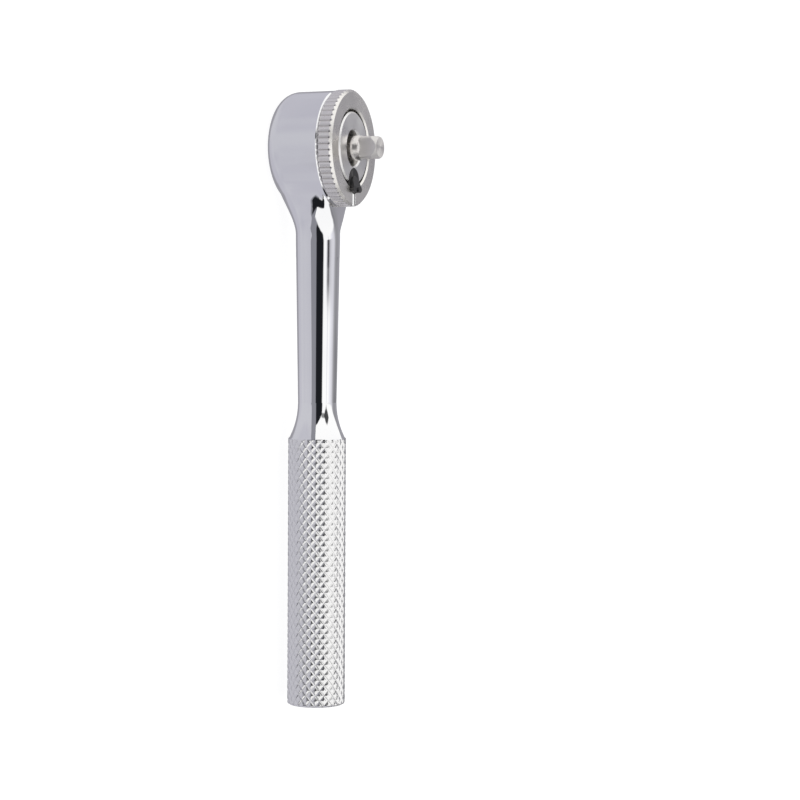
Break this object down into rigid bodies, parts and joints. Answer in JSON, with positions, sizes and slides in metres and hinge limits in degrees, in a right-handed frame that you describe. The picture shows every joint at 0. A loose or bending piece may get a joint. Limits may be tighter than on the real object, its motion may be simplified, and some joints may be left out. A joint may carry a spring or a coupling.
{
  "type": "ratchet wrench",
  "caption": "Reversible ratchet wrench with a small square drive, a coin-edged spin ring on a round head, a thumb lever and a round knurled steel grip.",
  "frame": {"origin": "centre of the round head's flat back face", "axes": "+Z along the drive, out of its square end; the handle lies along -Y; +X completes the frame, across the head"},
  "size_m": [0.0344, 0.1829, 0.0307],
  "materials": {
    "chrome_forging": "polished chrome plate, satin on the head, knurled on the grip",
    "ring_steel": "fine turned, plated",
    "cover_steel": "fine turned, plated",
    "core_steel": "satin plated",
    "lever_black": "black oxide, satin",
    "hardened_steel": "ground, oiled",
    "spring_steel": "bright wire",
    "ball_steel": "polished",
    "seal_rubber": "matte"
  },
  "bodies": {
    "handle": {"forged_body": "chrome_forging", "thrust_washer": "hardened_steel", "core_circlip": "spring_steel"},
    "drive": {"drive_core": "core_steel", "spin_ring": "ring_steel", "ring_keys": "hardened_steel", "cover_disc": "cover_steel", "cover_dowels": "hardened_steel", "grease_seal": "seal_rubber", "socket_spring": "spring_steel"},
    "lever": {"reversing_lever": "lever_black", "detent_spring": "spring_steel"},
    "detent_ball": {"detent_ball": "ball_steel"},
    "pawl": {"pawl": "hardened_steel"},
    "socket_ball": {"socket_ball": "ball_steel"}
  },
  "joints": [
    {"name": "drive_spin", "type": "hinge", "parent": "handle", "child": "drive", "pos_m": [0, 0, 0], "axis": [0, 0, 1], "continuous": true},
    {"name": "lever_flip", "type": "hinge", "parent": "drive", "child": "lever", "pos_m": [0, -0.0097, 0], "axis": [0, 0, 1], "range_deg": [-30, 30]},
    {"name": "pawl_rock", "type": "hinge", "parent": "drive", "child": "pawl", "pos_m": [0, -0.0097, 0], "axis": [0, 0, 1], "range_deg": [-8.7, 8.7]},
    {"name": "detent_press", "type": "slide", "parent": "lever", "child": "detent_ball", "axis": [0, -1, 0], "range_m": [0, 0.0003], "stiffness_N_per_m": 400, "springref_m": -0.0003, "deforming": ["detent_spring"]},
    {"name": "socket_ball_press", "type": "slide", "parent": "drive", "child": "socket_ball", "axis": [-1, 0, 0], "range_m": [0, 0.0005], "stiffness_N_per_m": 1500, "springref_m": -0.0005, "deforming": ["socket_spring"]}
  ],
  "couplings": [
    {"joint": "pawl_rock", "follows": "lever_flip", "ratio": 0.28885}
  ]
}
